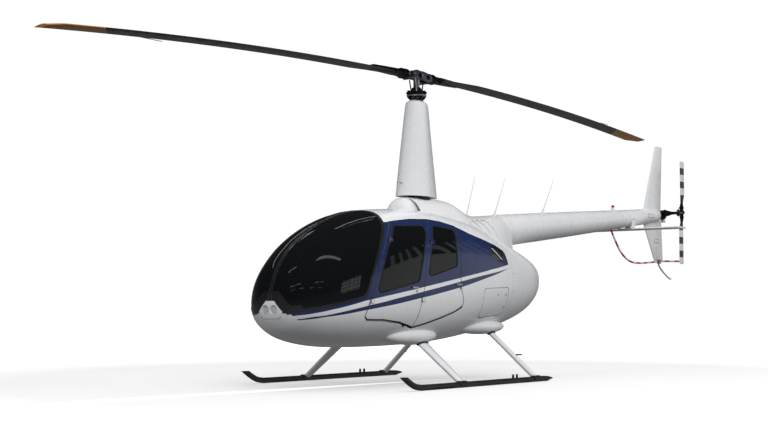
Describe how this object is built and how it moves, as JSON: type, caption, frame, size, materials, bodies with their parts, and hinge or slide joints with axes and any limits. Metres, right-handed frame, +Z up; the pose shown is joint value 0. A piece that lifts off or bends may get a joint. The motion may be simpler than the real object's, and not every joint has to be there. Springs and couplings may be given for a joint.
{
  "type": "light turbine helicopter",
  "caption": "Light helicopter with a rounded glazed cabin, tall mast fairing, slim tailcone and skid landing gear, with hinged doors and turning main and tail rotors.",
  "frame": {"origin": "on the ground, under the middle of the whole aircraft's bounding box", "axes": "+X to the nose, +Y to port, +Z up"},
  "size_m": [11.28, 2.224, 3.48],
  "materials": {
    "white_paint": "gloss white paint",
    "navy_paint": "gloss navy paint",
    "black_satin": "satin black",
    "window_glass": "tinted acrylic",
    "bare_metal": "satin metal",
    "seat_leather": "dark leather",
    "cabin_trim": "dark trim",
    "lamp_glass": "lamp reflector",
    "guard_paint": "red and white bands"
  },
  "bodies": {
    "airframe": {"aerial_front": "white_paint", "aerial_middle": "white_paint", "aerial_rear": "white_paint", "aft_cowl": "white_paint", "beacon": "bare_metal", "cabin_bulkhead": "cabin_trim", "cabin_floor": "cabin_trim", "cabin_shell": "white_paint", "cyclic_stick": "black_satin", "engine_block": "bare_metal", "exhaust_pipe": "bare_metal", "firewall": "bare_metal", "instrument_console": "black_satin", "lamp_panel": "white_paint", "landing_lamp_left": "lamp_glass", "landing_lamp_right": "lamp_glass", "lower_fin": "white_paint", "mast_fairing": "white_paint", "roof_panel": "white_paint", "seat_front_left": "seat_leather", "seat_front_right": "seat_leather", "seat_rear": "seat_leather", "skid_left": "black_satin", "skid_right": "black_satin", "stabiliser": "white_paint", "strut_front_left": "white_paint", "strut_front_right": "white_paint", "strut_rear_left": "white_paint", "strut_rear_right": "white_paint", "swashplate_fixed": "bare_metal", "tail_gearbox": "black_satin", "tail_guard": "guard_paint", "tailcone": "white_paint", "upper_cowl": "white_paint", "upper_fin": "white_paint", "windshield_bow": "black_satin", "windshield_left": "window_glass", "windshield_right": "window_glass"},
    "main_rotor": {"rotor_hub": "black_satin", "main_blade_fore": "black_satin", "main_blade_aft": "black_satin"},
    "tail_rotor": {"tail_rotor_hub": "black_satin", "tail_blade_upper": "white_paint", "tail_blade_lower": "white_paint"},
    "front_door_left": {"door_front_left": "navy_paint", "window_front_left": "window_glass"},
    "front_door_right": {"door_front_right": "navy_paint", "window_front_right": "window_glass"},
    "rear_door_left": {"door_rear_left": "navy_paint", "window_rear_left": "window_glass"},
    "rear_door_right": {"door_rear_right": "navy_paint", "window_rear_right": "window_glass"},
    "baggage_door": {"door_baggage": "white_paint"}
  },
  "joints": [
    {"name": "main_rotor_spin", "type": "hinge", "parent": "airframe", "child": "main_rotor", "pos_m": [0.61, 0, 3.405], "axis": [0, 0, 1], "continuous": true},
    {"name": "tail_rotor_spin", "type": "hinge", "parent": "airframe", "child": "tail_rotor", "pos_m": [-5.26, 0.323, 2.18], "axis": [0, 1, 0], "continuous": true},
    {"name": "front_door_left_swing", "type": "hinge", "parent": "airframe", "child": "front_door_left", "pos_m": [2.1235, 0.689, 1.1585], "axis": [0.4743, 0.0698, -0.8776], "range_deg": [0, 70]},
    {"name": "front_door_right_swing", "type": "hinge", "parent": "airframe", "child": "front_door_right", "pos_m": [2.1235, -0.689, 1.1585], "axis": [-0.4743, 0.0698, 0.8776], "range_deg": [0, 70]},
    {"name": "rear_door_left_swing", "type": "hinge", "parent": "airframe", "child": "rear_door_left", "pos_m": [1.4155, 0.738, 1.201], "axis": [0.3111, 0.0789, -0.9471], "range_deg": [0, 70]},
    {"name": "rear_door_right_swing", "type": "hinge", "parent": "airframe", "child": "rear_door_right", "pos_m": [1.4155, -0.738, 1.201], "axis": [-0.3111, 0.0789, 0.9471], "range_deg": [0, 70]},
    {"name": "baggage_door_swing", "type": "hinge", "parent": "airframe", "child": "baggage_door", "pos_m": [0.33, 0.735, 0.86], "axis": [0, 0, -1], "range_deg": [0, 100]}
  ]
}
